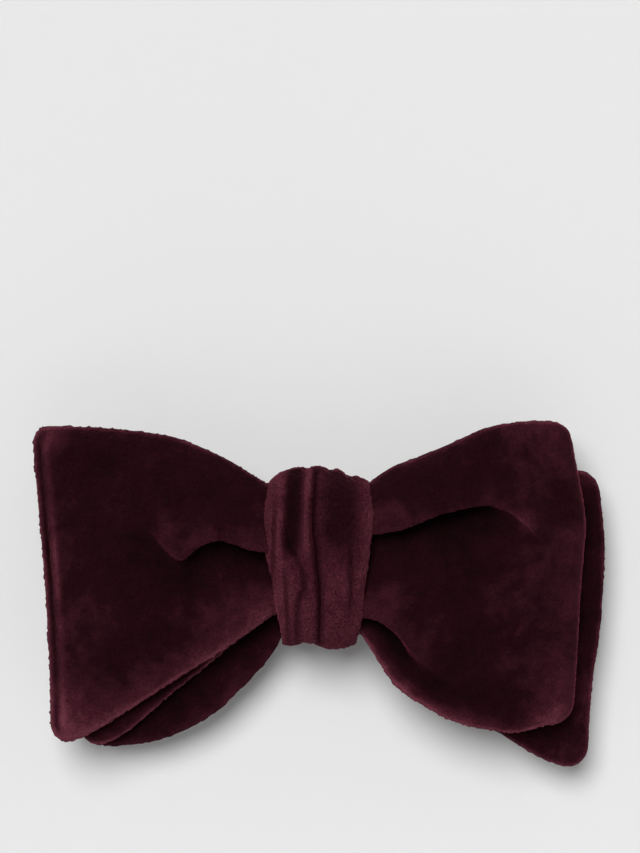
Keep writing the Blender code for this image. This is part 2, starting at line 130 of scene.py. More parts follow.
# ---------------- materials
class Nodes:
    """Short names for building a material's node tree."""

    def __init__(self, name):
        self.material = bpy.data.materials.new(name)
        self.material.use_nodes = True
        self.tree = self.material.node_tree
        self.shader = self.tree.nodes["Principled BSDF"]
        self.place = self.tree.nodes.new("ShaderNodeTexCoord").outputs["Object"]

    def add(self, kind, **values):
        node = self.tree.nodes.new(kind)
        for key, value in values.items():
            if hasattr(node, key):
                setattr(node, key, value)
            else:
                node.inputs[key.replace("_", " ")].default_value = value
        return node

    def link(self, out, into):
        self.tree.links.new(out, into)

    def attribute(self, name):
        return self.add("ShaderNodeAttribute", attribute_name=name).outputs["Fac"]

    def noise(self, size, detail=3.0, rough=0.55, stretch=(1, 1, 1), distortion=0.0):
        """Noise whose features are about size metres across."""
        mapping = self.add("ShaderNodeMapping", Scale=stretch)
        self.link(self.place, mapping.inputs["Vector"])
        node = self.add("ShaderNodeTexNoise", Scale=1.0 / size, Detail=detail, Roughness=rough,
                        Distortion=distortion)
        self.link(mapping.outputs["Vector"], node.inputs["Vector"])
        return node.outputs["Fac"]

    def ramp(self, factor, stops):
        node = self.add("ShaderNodeValToRGB")
        while len(node.color_ramp.elements) < len(stops):
            node.color_ramp.elements.new(0.5)
        for element, (at, colour) in zip(node.color_ramp.elements, stops):
            element.position = at
            element.color = (*colour, 1.0)
        self.link(factor, node.inputs["Fac"])
        return node.outputs["Color"]

    def math(self, operation, *values):
        node = self.add("ShaderNodeMath", operation=operation)
        for socket, value in zip(node.inputs, values):
            if isinstance(value, (int, float)):
                socket.default_value = value
            else:
                self.link(value, socket)
        return node.outputs["Value"]

    def mix(self, factor, a, b, blend="MIX"):
        node = self.add("ShaderNodeMix", data_type="RGBA", blend_type=blend)
        if isinstance(factor, float):
            node.inputs["Factor"].default_value = factor
        else:
            self.link(factor, node.inputs["Factor"])
        self.link(a, node.inputs["A"])
        self.link(b, node.inputs["B"])
        return node.outputs["Result"]

    def bump(self, height, depth, strength=1.0, after=None):
        node = self.add("ShaderNodeBump", Strength=strength, Distance=depth)
        self.link(height, node.inputs["Height"])
        if after:
            self.link(after, node.inputs["Normal"])
        return node.outputs["Normal"]

    def centred(self, noise, strength):
        """Noise that swings about 0 instead of 0.5."""
        return self.math("MULTIPLY", self.math("SUBTRACT", noise, 0.5), strength)

    def socket(self, **values):
        for key, value in values.items():
            self.shader.inputs[key.replace("_", " ")].default_value = value

    def shade(self, out, name):
        """Drives one of the shader's inputs."""
        self.link(out, self.shader.inputs[name])


def velvet_material(name, patchy, grainy):
    """Burgundy silk velvet. The nap attribute runs from 0, painted shade deep in a fold, to 1,
    an edge with wear and a painted highlight.

    patchy is how much the pile is crushed here and there, and grainy how much its tufts show.
    """
    m = Nodes(name)
    m.socket(Roughness=0.9, Sheen_Weight=0.22, Sheen_Roughness=0.3, Specular_IOR_Level=0.03)
    m.shader.inputs["Sheen Tint"].default_value = (0.95, 0.13, 0.27, 1)
    nap = m.attribute("nap")
    crushed = m.centred(m.noise(0.012, 4.0, 0.6, distortion=0.6), patchy)
    mottled = m.centred(m.noise(0.0028, 4.0, 0.65), 0.5 * patchy)
    pile_tone_and_light = m.math("ADD", nap, m.math("ADD", crushed, mottled))
    # Painted light: the ramp runs from painted shade in folds, through the velvet's own tone, to painted
    # highlights on crests and edges.
    pile = m.ramp(pile_tone_and_light, [(0.0, (0.0048, 0.0011, 0.0014)), (0.34, (0.0140, 0.0024, 0.0043)),
                         (0.62, (0.0430, 0.0080, 0.0145)), (1.0, (0.1350, 0.0330, 0.0500))])
    tufts = m.ramp(m.noise(0.00042, 2.0, 0.5), [(0.3, (1 - grainy,) * 3), (0.72, (1 + 1.2 * grainy,) * 3)])
    # Velvet's sheen, painted into the base colour: the pile's tips catch the light where seen edge on.
    edge_on = m.add("ShaderNodeLayerWeight", Blend=0.5).outputs["Facing"]
    tips = m.ramp(edge_on, [(0.0, (0, 0, 0)), (0.55, (0.08, 0.08, 0.08)), (1.0, (0.6, 0.6, 0.6))])
    painted_sheen_colour = m.ramp(m.noise(0.0012, 3.0, 0.6), [(0.3, (0.06, 0.013, 0.021)), (0.7, (0.11, 0.026, 0.040))])
    m.shade(m.mix(tips, m.mix(1.0, pile, tufts, "MULTIPLY"), painted_sheen_colour), "Base Color")
    m.shade(m.bump(m.noise(0.0004, 2.0), 0.00014, 0.6, m.bump(m.noise(0.002, 3.0), 0.0004, 0.4)), "Normal")
    return m.material


def felt_material():
    """Undyed felt, with its threads as bump."""
    m = Nodes("felt")
    m.socket(Roughness=1.0, Specular_IOR_Level=0.25, Sheen_Weight=0.15, Sheen_Roughness=0.5)
    m.shade(m.ramp(m.noise(0.003, 4.0), [(0.35, (0.52, 0.48, 0.41)), (0.65, (0.66, 0.62, 0.54))]),
            "Base Color")
    waves = []
    for axis in ("X", "Y"):
        wave = m.add("ShaderNodeTexWave", bands_direction=axis, Scale=math.pi / FELT_PITCH / 10,
                     Distortion=0.6)
        m.link(m.place, wave.inputs["Vector"])
        waves.append(wave.outputs["Color"])
    m.shade(m.bump(m.mix(0.5, *waves, "MULTIPLY"), 0.0001, 0.6), "Normal")
    return m.material


def floor_material():
    m = Nodes("studio_floor")
    m.socket(Roughness=0.9, Specular_IOR_Level=0.1)
    m.shade(m.ramp(m.noise(0.4, 2.0), [(0.3, (0.80,) * 3), (0.7, (0.82,) * 3)]), "Base Color")
    return m.material


def ribbon_material():
    """Half-glossy burgundy grosgrain: ribs across the band; along and across hold millimetres."""
    m = Nodes("neckband_grosgrain")
    m.socket(Roughness=0.46, Specular_IOR_Level=0.35, Sheen_Weight=0.15, Sheen_Roughness=0.4)
    along = m.attribute("along")
    across = m.attribute("across")
    ribs = m.math("SINE", m.math("MULTIPLY", along, math.tau / RIB_PITCH))
    yarns = m.math("SINE", m.math("MULTIPLY", across, math.tau / YARN_PITCH))
    level = m.math("ADD", m.math("MULTIPLY", ribs, 0.34), m.math("MULTIPLY", yarns, 0.10))
    uneven = m.centred(m.noise(0.004), 0.8)
    # Painted shade between the ribs and yarns and painted highlight on them, with random unevenness in
    # tone.
    rib_shade_and_tone = m.math("ADD", m.math("ADD", level, 0.5), uneven)
    m.shade(m.ramp(rib_shade_and_tone, [(0.05, (0.016, 0.0030, 0.0050)), (0.5, (0.040, 0.0078, 0.0125)),
                          (0.95, (0.074, 0.0160, 0.0250))]), "Base Color")
    m.shade(m.bump(level, 0.00012, 0.7), "Normal")
    return m.material


def thread_material():
    m = Nodes("sewing_thread")
    m.socket(Roughness=0.6, Specular_IOR_Level=0.3, Sheen_Weight=0.2)
    twist = m.noise(0.0005, 2.0, stretch=(1, 1, 0.4))
    m.shade(m.ramp(twist, [(0.3, (0.030, 0.006, 0.010)), (0.7, (0.090, 0.020, 0.030))]), "Base Color")
    m.shade(m.bump(twist, 0.0001, 0.7), "Normal")
    return m.material


def metal_material():
    """Nickel plate with fine drawing marks and a little tarnish."""
    m = Nodes("nickel_plate")
    m.socket(Metallic=1.0)
    tarnish = m.noise(0.004, 5.0, 0.65)
    marks = m.noise(0.0006, 3.0, 0.7, stretch=(0.15, 1.0, 1.0))
    m.shade(m.ramp(tarnish, [(0.35, (0.60, 0.58, 0.55)), (0.6, (0.74, 0.73, 0.71))]), "Base Color")
    m.shade(m.math("ADD", 0.16, m.math("MULTIPLY", m.math("ADD", tarnish, marks), 0.14)), "Roughness")
    m.shade(m.bump(marks, 0.00003, 0.4), "Normal")
    return m.material


RIB_PITCH, YARN_PITCH = 0.95, 0.42      # of the neckband's weave, mm
FELT_PITCH = 0.0004                     # of the felt's threads, metres
VELVET = velvet_material("velvet", 0.72, 0.30)
KNOT_VELVET = velvet_material("velvet_knot", 0.42, 0.45)
RIBBON = ribbon_material()
THREAD = thread_material()
METAL = metal_material()
FELT = felt_material()
floor.data.materials.append(floor_material())


# ---------------- shape tools (millimetres)
def curve(points):
    """A smooth function y(x) through a few points, for arrays of x."""
    xs, ys = (np.array(c, float) for c in zip(*sorted(points)))
    slopes = np.gradient(ys, xs)

    def value(x):
        x = np.clip(x, xs[0], xs[-1])
        i = np.clip(np.searchsorted(xs, x, side="right") - 1, 0, len(xs) - 2)
        span = xs[i + 1] - xs[i]
        t = (x - xs[i]) / span
        return ((2 * t**3 - 3 * t**2 + 1) * ys[i] + (t**3 - 2 * t**2 + t) * span * slopes[i]
                + (3 * t**2 - 2 * t**3) * ys[i + 1] + (t**3 - t**2) * span * slopes[i + 1])

    return value


def smoothstep(a, b, x):
    t = np.clip((x - a) / (b - a), 0, 1)
    return t * t * (3 - 2 * t)


def lattice_noise(points, size, seed):
    """Smooth noise between -1 and 1 at an array of points, with features size mm across."""
    p = points / size + 1000.0
    base = np.floor(p).astype(np.int64)
    f = p - base
    f = f * f * (3 - 2 * f)
    total = np.zeros(len(points))
    for dx, dy, dz in np.ndindex(2, 2, 2):
        x, y, z = base[:, 0] + dx, base[:, 1] + dy, base[:, 2] + dz
        h = (x * 73856093) ^ (y * 19349663) ^ (z * 83492791) ^ (seed * 2654435761)
        h = (h ^ (h >> 13)) * 1274126177 & 0x7FFFFFFF
        weight = ((f[:, 0] if dx else 1 - f[:, 0]) * (f[:, 1] if dy else 1 - f[:, 1])
                  * (f[:, 2] if dz else 1 - f[:, 2]))
        total += weight * (h / 0x3FFFFFFF - 1.0)
    return total


def grid_noise(grid, size, seed):
    return lattice_noise(grid.reshape(-1, 3), size, seed).reshape(grid.shape[:2])


def unit(vectors):
    return vectors / np.linalg.norm(vectors, axis=-1, keepdims=True)


def lengths_along(points):
    """How far along a line of points each of them lies."""
    return np.concatenate([[0], np.cumsum(np.linalg.norm(np.diff(points, axis=0), axis=1))])


def grid_normals(grid):
    """Unit normals of a grid of points, on the side that faces +Z where the grid starts."""
    n = np.cross(np.gradient(grid, axis=0), np.gradient(grid, axis=1))
    n /= np.maximum(np.linalg.norm(n, axis=2, keepdims=True), 1e-9)
    return n if n[2, n.shape[1] // 2, 2] > 0 else -n


def make_mesh(name, verts, faces, **attributes):
    """A mesh of quads from arrays, in metres, facing outwards, with a number for each point."""
    p = verts[faces]
    volume = np.einsum("ij,ij->i", p[:, 0], np.cross(p[:, 1], p[:, 2]) + np.cross(p[:, 2], p[:, 3])).sum()
    if volume < 0:
        faces = faces[:, ::-1]
    mesh = bpy.data.meshes.new(name)
    mesh.vertices.add(len(verts))
    mesh.vertices.foreach_set("co", verts.ravel())
    mesh.loops.add(faces.size)
    mesh.loops.foreach_set("vertex_index", faces.ravel())
    mesh.polygons.add(len(faces))
    mesh.polygons.foreach_set("loop_start", np.arange(0, faces.size, 4))
    mesh.polygons.foreach_set("loop_total", np.full(len(faces), 4))
    mesh.update(calc_edges=True)
    mesh.validate()
    mesh.shade_smooth()
    for key, values in attributes.items():
        layer = mesh.attributes.new(key, "FLOAT", "POINT")
        layer.data.foreach_set("value", np.asarray(values, np.float32).ravel())
    return mesh


def add_piece(name, mesh, material, body, replaces=()):
    """A new piece; body is the name of the body that it rides on, or None where it bends between two."""
    mesh.materials.append(material)
    piece = bpy.data.objects.new(name, mesh)
    add_to_scene(piece)
    if body:
        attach(piece, body)
    if replaces:
        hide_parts(*replaces)
    return piece


def closed_sheet(name, upper, lower, **attributes):
    """A closed mesh between two grids of points, upper being its outer side."""
    rows, cols = upper.shape[:2]
    index = np.arange(rows * cols).reshape(rows, cols)
    top = grid_quads(index)
    rim = np.concatenate([index[:, 0], index[-1, 1:], index[-2::-1, -1], index[0, -2:0:-1]])
    ahead = np.roll(rim, -1)
    side = np.stack([ahead, rim, rim + index.size, ahead + index.size], axis=-1)
    faces = np.concatenate([top, top[:, ::-1] + index.size, side[:, ::-1]])
    verts = np.concatenate([upper.reshape(-1, 3), lower.reshape(-1, 3)]) * MM
    doubled = {key: np.stack([value, value]) for key, value in attributes.items()}
    return make_mesh(name, verts, faces, **doubled)


# ---------------- lobes
PLAIN_NAP = 0.34            # of velvet that lies flat, without wear, painted highlight or painted shade
PILE = 0.25                 # half the thickness of the ground cloth between front and back velvet
BACK_SHARE = 0.3            # how much of its front's thickness the back leaf of a loop has
WING_BACK_EDGE = (2.4, 0.9)     # radius and height of the rounded edge of a free end's back
LOOP_INSIDE_RISE = 0.8          # height of the rounded edge inside a loop
LOBE_START = 3.0            # the lobes' cloth starts this far from the middle, inside the knot
WAVES, RIPPLES, SEAM_VARIES = 11.0, 4.5, 7.0    # sizes of the unevenness in a lobe and along its seam
WAVE_HEIGHT = 0.5
SEAM_GROOVE, SEAM_RIDGE = (1.6, 0.5), (3.0, 0.9)    # how far from the outer edge, and how wide
RIM = 0.6                   # width of the rim with a painted highlight, where the pile stands out from the edge
# painted highlight along the rim of a front and of a back
RIM_HIGHLIGHT, BACK_RIM_HIGHLIGHT = 0.34, 0.3
TUFTS, TUFT_CLUMPS = 0.45, 0.85     # sizes of the tips of the pile
BOTTOM, OUTER, TOP = range(3)


class Lobe:
    """Outline of a lobe, with x measured outwards from the middle of the bow."""

    def __init__(self, side, top, bottom, outer, corners, folded=False):
        self.side = side
        self.top, self.bottom, self.outer = curve(top), curve(bottom), curve(outer)
        self.corners = corners      # radii of the corners at the bottom and at the top
        self.folded = folded
        reach = self.outer(np.array([-40.0, 40.0]))
        self.low = float(self.bottom(reach[0] - corners[0]))
        self.high = float(self.top(reach[1] - corners[1]))

    def edge_x(self, v):
        """Where the outer edge lies for each v from -1 (bottom) to 1 (top), corners rounded off."""
        y = self.low + (self.high - self.low) * (v + 1) / 2
        x = self.outer(y)
        for radius, depth in ((self.corners[0], self.low + self.corners[0] - y),
                              (self.corners[1], y - self.high + self.corners[1])):
            t = np.clip(depth / radius, 0, 1)
            x = x - radius * (0.7 * t ** 3 if self.folded else 1 - np.sqrt(1 - t * t))
        return x

    def place(self, u, v, back=0.0):
        x = LOBE_START + (self.edge_x(v) - back - LOBE_START) * u
        low, high = self.bottom(x), self.top(x)
        return x, low + (high - low) * (v + 1) / 2

    def edge_distances(self, x, y, count=150):
        """Distances of the points of a grid from the bottom, the outer and the top edge."""
        s, one = np.linspace(0, 1, count), np.ones(count)
        edges = [np.stack(self.place(u, v), axis=-1) for u, v in ((s, -one), (one, 2 * s - 1), (s, one))]
        return np.array([distance_to(np.stack([x.ravel(), y.ravel()], axis=-1), edge).reshape(x.shape)
                         for edge in edges])


def distance_to(points, line):
    """Distance of each point from a line of straight steps."""
    best = np.full(len(points), 1e9)
    starts, step = line[:-1], line[1:] - line[:-1]
    length2 = np.maximum((step ** 2).sum(1), 1e-12)
    for k in range(0, len(points), 4000):
        p = points[k:k + 4000, None, :]
        t = np.clip(((p - starts) * step).sum(2) / length2, 0, 1)
        gap = p - (starts + t[..., None] * step)
        best[k:k + 4000] = np.sqrt((gap ** 2).sum(2)).min(1)
    return best


def columns(lobe, u_values, rows, folds=(), back=0.0):
    """x and y of a lobe's grid. Each column has more points near its ends and near the folds."""
    fine = np.linspace(-1, 1, 900)
    xs, ys = [], []
    for u in u_values:
        x, y = lobe.place(np.full_like(fine, u), fine, back)
        density = 1 + 2.5 * np.exp(-((1 - np.abs(fine)) * (y[-1] - y[0]) / 2 / 1.2) ** 2)
        for fold in folds:
            density = density + 3.5 * fold.size(x) * np.exp(-((y - fold.line(x)) / 2.2) ** 2)
        total = np.concatenate([[0], np.cumsum((density[1:] + density[:-1]) / 2)])
        v = np.interp(np.linspace(0, total[-1], rows), total, fine)
        x, y = lobe.place(np.full_like(v, u), v, back)
        xs.append(x)
        ys.append(y)
    return np.array(xs), np.array(ys)


class Fold:
    """A fold that runs out from the knot along a line y(x).

    Above the line the cloth rises and laps down over it; below, it sinks and goes under. size and lap
    are curves along x between 0 and 1; the rest are in mm.
    """

    def __init__(self, line, size, lap, rise, depth, over, above, below, lit=0.30, painted_shade=0.34):
        self.line, self.size, self.lap = curve(line), curve(size), curve(lap)
        self.rise, self.depth, self.over = rise, depth, over
        self.above, self.below = above, below
        self.lit, self.painted_shade = lit, painted_shade

    def offset(self, x, y):
        """Distance above the line, and the line's slope and stretch."""
        slope = (self.line(x + 0.1) - self.line(x - 0.1)) / 0.2
        stretch = np.sqrt(1 + slope ** 2)
        return (y - self.line(x)) / stretch, slope, stretch

    def shift(self, x, y):
        """Movement of the cloth: along x, along y and up."""
        q, slope, stretch = self.offset(x, y)
        over = -self.over * self.lap(x) * np.tanh(q / 0.9) * np.exp(-(q / (0.55 * self.above)) ** 2)
        bend = np.tanh(q / 1.5) * self.size(x)
        up = np.where(q > 0, self.rise * bend * np.exp(-(q / self.above) ** 2),
                      self.depth * bend * np.exp(-(q / self.below) ** 2))
        return -over * slope / stretch, over / stretch, up

    # Painted highlight along the fold's crest and painted shade where the cloth goes under the lip.
    def nap(self, x, y):
        q = self.offset(x, y)[0]
        crest = self.lit * (np.exp(-np.abs(q) / (0.42 * self.above)) + 0.8 * np.exp(-(q / 0.6) ** 2))
        shade_under_lip = -self.painted_shade * np.exp(-(q / (0.85 * self.below)) ** 2)
        return self.size(x) * np.where(q > -0.15, crest, shade_under_lip)


class Hollow(Fold):
    """A soft valley in the cloth along a line; depth and width in mm."""

    def __init__(self, line, size, depth, width, painted_shade):
        self.line, self.size = curve(line), curve(size)
        self.depth, self.width, self.painted_shade = depth, width, painted_shade

    def valley(self, x, y):
        return self.size(x) * np.exp(-(self.offset(x, y)[0] / self.width) ** 2)

    def shift(self, x, y):
        return 0 * x, 0 * x, -self.depth * self.valley(x, y)

    # Painted shade along the valley.
    def nap(self, x, y):
        return -self.painted_shade * self.valley(x, y)


def round_edge(d, radius, height):
    """Height of a rounded edge at distance d inside it."""
    t = np.clip(1 - d / radius, 0, 1)
    return height * np.sqrt(1 - t * t)


class Cloth:
    """How a lobe's front is shaped, where it shows wear, and where it gets painted highlight and shade."""

    def __init__(self, height, crown, edge, edge_wear_and_highlight, folds=(), seam=0.0, crush_and_light_patches=()):
        self.height = curve(height)     # level of the leaf's middle, along x
        self.crown = crown              # rise in the middle, and how far in from the edge it is reached
        self.edge = edge                # radius and height of the rounded edge
        self.folds = folds
        self.seam = seam                # how clearly the seam shows along the outer edge
        self.edge_wear_and_highlight = edge_wear_and_highlight                # wear and painted highlight along the bottom, outer and top edge, and how far in
        self.crush_and_light_patches = crush_and_light_patches          # crushed places, and spots of painted highlight and painted shade: x, y, size, strength

    def front(self, lobe, x, y, d, distances, seed):
        """Front side of the lobe, and its nap: tone with painted highlight and painted shade."""
        front = np.stack([lobe.side * x, y, self.height(x)], axis=-1)
        front[..., 2] += round_edge(d, *self.edge) + self.crown[0] * smoothstep(0, self.crown[1], d)
        inside = smoothstep(0, 2.5, d)
        nap = np.full_like(x, PLAIN_NAP)
        for fold in self.folds:
            dx, dy, up = fold.shift(x, y)
            front += np.stack([lobe.side * dx * inside, dy * inside, up * inside], axis=-1)
            nap += fold.nap(x, y)
        front[..., 2] += WAVE_HEIGHT * grid_noise(front, WAVES, seed) * smoothstep(0, 9, d)
        front[..., 2] += 0.35 * WAVE_HEIGHT * grid_noise(front, RIPPLES, seed + 1) * smoothstep(0, 5, d)
        uneven = 1 + 0.7 * grid_noise(front, SEAM_VARIES, seed + 5)
        clear = smoothstep(1, 6, np.minimum(distances[BOTTOM], distances[TOP])) * self.seam * uneven
        groove, ridge = (clear * np.exp(-((distances[OUTER] - at) / width) ** 2)
                         for at, width in (SEAM_GROOVE, SEAM_RIDGE))
        front[..., 2] += 0.35 * ridge - 0.6 * groove
        # Painted highlight on the seam's ridge and painted shade in its groove.
        nap += 0.24 * ridge - 0.26 * groove
        for distance, (strength, width) in zip(distances, self.edge_wear_and_highlight):
            nap += strength * np.exp(-distance / width)
        for px, py, size, strength in self.crush_and_light_patches:
            nap += strength * np.exp(-((x - px) ** 2 + (y - py) ** 2) / size ** 2)
        # Painted highlight along the rim.
        nap += RIM_HIGHLIGHT * np.exp(-(d / RIM) ** 2)
        return front, nap


def with_pile(grid, seed, d, depth=0.12):
    """The grid with its pile: uneven tips, more so along the free edges."""
    tips = 0.40 * grid_noise(grid, TUFT_CLUMPS, seed) + 1.0 * grid_noise(grid, TUFTS, seed + 7)
    return grid + grid_normals(grid) * (tips * depth * (1 + 1.8 * np.exp(-d / 0.7)))[..., None]


def velvet_sheet(name, upper, lower, nap, replaces):
    """A sheet of velvet between two grids, in place of CAD nodes."""
    mesh = closed_sheet(name, upper, lower, nap=nap)
    add_piece(name, mesh, VELVET, "bow", replaces)


def wing(name, lobe, cloth, seed, counts):
    """A free end: a front and a back of velvet, sewn at the edge."""
    x, y = columns(lobe, np.linspace(0, 1, counts[0]) ** 0.92, counts[1], cloth.folds)
    distances = lobe.edge_distances(x, y)
    d = distances.min(0)
    middle = np.stack([lobe.side * x, y, cloth.height(x)], axis=-1)
    front, nap = cloth.front(lobe, x, y, d, distances, seed)
    front = with_pile(front + [0, 0, PILE], seed + 2, d)
    velvet_sheet(name + "_front", front, middle + [0, 0, PILE / 2], nap,
                 (name + "_face", name + "_interlining"))
    d, middle = d[::2, ::2], middle[::2, ::2]
    back = middle - np.stack([0 * d, 0 * d, PILE + round_edge(d, *WING_BACK_EDGE)], axis=-1)
    # The back: painted highlight along its rim.
    back_nap = PLAIN_NAP + BACK_RIM_HIGHLIGHT * np.exp(-(d / RIM) ** 2)
    back = with_pile(back, seed + 3, d)
    velvet_sheet(name + "_back", back, middle - [0, 0, PILE / 2], back_nap, (name + "_backing",))


def loop(name, lobe, back_lobe, cloth, back_level, seed, counts):
    """A folded loop: velvet outside and inside, from the knot round the outer fold and back."""
    side = lobe.side
    reach = lobe.edge_x(np.array([0.0]))
    radius = (float(cloth.height(reach)[0]) - back_level) / 2
    inset = radius + PILE + cloth.edge[1] * (1 + BACK_SHARE) / 2
    x, y = columns(lobe, np.linspace(0, 1, counts[0]) ** 0.92, counts[1], cloth.folds, inset)
    xb, yb = columns(back_lobe, np.linspace(1, 0, counts[3]), counts[1], (), inset)
    distances = lobe.edge_distances(x, y)
    d = np.minimum(distances[BOTTOM], distances[TOP])
    back_distances = back_lobe.edge_distances(xb, yb)
    db = np.minimum(back_distances[BOTTOM], back_distances[TOP])
    front, nap = cloth.front(lobe, x, y, d, distances, seed)
    front_middle = np.stack([side * x, y, cloth.height(x)], axis=-1)
    back_middle = np.stack([side * xb, yb, np.full_like(xb, back_level)], axis=-1)
    # The back leaf: painted highlight along its rim and near its edges.
    back_nap = PLAIN_NAP + BACK_RIM_HIGHLIGHT * np.exp(-(db / RIM) ** 2) + 0.14 * np.exp(-db / 2.5)
    turn, turn_d, turn_nap = [], [], []
    first, last = front_middle[-1], back_middle[0]
    for share in np.arange(1, counts[2]) / counts[2]:
        row = first * (1 - share) + last * share
        row[:, 0] = (first[:, 0] + last[:, 0]) / 2 + side * radius * math.sin(math.pi * share)
        row[:, 2] = ((first[:, 2] + last[:, 2]) / 2
                     + (first[:, 2] - last[:, 2]) / 2 * math.cos(math.pi * share))
        turn.append(row)
        turn_d.append(d[-1] * (1 - share) + db[0] * share)
        turn_nap.append(nap[-1] * (1 - share) + back_nap[0] * share)
    middle = np.concatenate([front_middle, np.array(turn), back_middle])
    distance = np.concatenate([d, np.array(turn_d), db])
    nap = np.concatenate([nap, np.array(turn_nap), back_nap])
    normals = grid_normals(middle)
    normals[..., 1] = 0
    normals = unit(normals)
    share = np.concatenate([np.ones(len(d)), np.linspace(1, BACK_SHARE, counts[2] - 1),
                            np.full(len(db), BACK_SHARE)])
    outside = middle + normals * (PILE + share[:, None] * round_edge(distance, *cloth.edge))[..., None]
    raised = front - front_middle
    raised[..., 2] -= round_edge(d, *cloth.edge)
    fade = smoothstep(1.0, 0.80, np.linspace(0, 1, len(front_middle)))[:, None, None]
    outside[:len(front_middle)] += raised * fade
    outside = with_pile(outside, seed + 2, distance)
    velvet_sheet(name + "_outside", outside, middle + normals * PILE / 2, nap,
                 (name + "_outer", name + "_interlining"))
    inside = middle - normals * (PILE + round_edge(distance, cloth.edge[0], LOOP_INSIDE_RISE))[..., None]
    inside = with_pile(inside[::2, ::2], seed + 3, distance[::2, ::2], 0.1)
    # The inside of the loop: painted shade, lighter near its edges.
    velvet_sheet(name + "_inside", (middle - normals * PILE / 2)[::2, ::2], inside,
                 0.45 * PLAIN_NAP + 0.38 * np.exp(-distance[::2, ::2] / 2.6), (name + "_inner",))


# Front left: a free end, lying flat, with one tuck from the knot that ends in a beak.
front_left = Lobe(
    side=-1,
    top=[(3, 20.5), (7, 21.2), (11.4, 23.3), (18.2, 27.5), (23.6, 30.2), (29.9, 32.6), (39.8, 34.2),
         (56.2, 35.1), (60, 35.2)],
    bottom=[(3, -1.0), (6, -2.4), (10, -4.6), (18.2, -10.2), (27.8, -16.3), (39.8, -23.9), (48.2, -29.2),
            (51, -30.4), (60, -30.8)],
    outer=[(-40, 56.2), (-26.5, 56.4), (-15.3, 56.6), (2.3, 57.6), (19.7, 59.1), (30.2, 60.0),
           (40, 60.2)],
    corners=(3.9, 3.6))
FRONT_LEFT_TUCK = Fold(
    line=[(6, 8.6), (11.9, 9.7), (14.6, 10.4), (17.3, 11.5), (21, 12.4), (24.7, 10.9), (28.9, 7.6),
          (32.4, 10.3), (34.6, 12.8), (39, 15.5), (46, 17)],
    size=[(3, 0.7), (10, 0.85), (20, 1.0), (27, 0.85), (30, 0.6), (34, 0.25), (39, 0.06), (46, 0)],
    lap=[(3, 0.5), (10, 0.8), (20, 1.0), (26, 0.7), (30, 0.15), (33, 0)],
    rise=2.5, depth=4.6, over=2.6, above=6.5, below=8.5)
wing("front_left_wing", front_left, Cloth(
    height=[(3, 13.6), (9, 14.5), (16, 15.8), (30, 16.6), (44, 16.0), (54, 14.7), (60, 13.2)],
    crown=(3.2, 24), edge=(7.0, 3.4), folds=[FRONT_LEFT_TUCK], seam=1.0,
    edge_wear_and_highlight=((0.46, 4.8), (0.16, 4.0), (0.04, 1.0)),
    crush_and_light_patches=[(50, -24, 8, 0.12), (56, 33, 3.2, 0.20), (37, 12.0, 4.5, -0.20), (31, 13.5, 4.0, 0.10),
             (15, 1, 7, 0.06), (38, -9, 8, -0.10), (44, 22, 10, -0.06), (20, 24, 7, -0.08)]),
    seed=11, counts=(210, 250))

# Back right: a free end that shows beyond the loop in front of it.
back_right = Lobe(
    side=1,
    top=[(3, 19), (11, 19.5), (30, 24), (54, 25.8), (60, 26)],
    bottom=[(3, -4), (9, -7.5), (25, -20.5), (37.3, -29.2), (42.1, -32.3), (48.4, -35.6), (51.1, -36.4),
            (60, -36.8)],
    outer=[(-40, 56.3), (-25.8, 56.8), (-18.7, 57.4), (-8.2, 58.9), (2.3, 59.7), (9.9, 60), (16.2, 59.5),
           (21.2, 58.9), (30, 57.8)],
    corners=(4.6, 4.4))
wing("back_right_wing", back_right, Cloth(
    height=[(3, 9.9), (40, 10.0), (60, 9.8)], crown=(0.3, 10), edge=(2.6, 0.7),
    edge_wear_and_highlight=((0.14, 2.5), (0.10, 1.5), (0.16, 2.5)),
    crush_and_light_patches=[(53, 23, 4, 0.10), (56, 0, 12, -0.12), (48, -28, 6, -0.10)]),
    seed=31, counts=(110, 150))

# Back left: a folded loop, seen below the free end; its back leaf reaches lower than its front leaf.
BACK_LEFT = {"side": -1, "top": [(3, 20), (11, 20.5), (25, 26), (40, 28), (52, 28)],
             "outer": [(-40, 49.0), (0, 51.5), (40, 50)], "corners": (3, 3), "folded": True}
back_left_front = Lobe(
    **BACK_LEFT,
    bottom=[(3, -0.8), (9, -3.6), (15.2, -7.6), (20.9, -12.8), (31.4, -21.2), (39.8, -28.4), (43, -30.6),
            (46, -31.4), (52, -31.8)])
back_left_back = Lobe(
    **BACK_LEFT,
    bottom=[(3, -6), (7.9, -9), (9.8, -12.4), (15.2, -18.7), (22.4, -25.4), (29.9, -29.6), (38.3, -31.9),
            (44.6, -32.3), (52, -32.4)])
loop("back_left_loop", back_left_front, back_left_back, Cloth(
    height=[(3, 12.4), (20, 12.6), (44, 12.9), (52, 12.9)], crown=(0.4, 8), edge=(2.0, 1.0),
    edge_wear_and_highlight=((0.20, 0.9), (0.1, 2.0), (0, 1))),
    back_level=9.6, seed=51, counts=(110, 150, 12, 110))

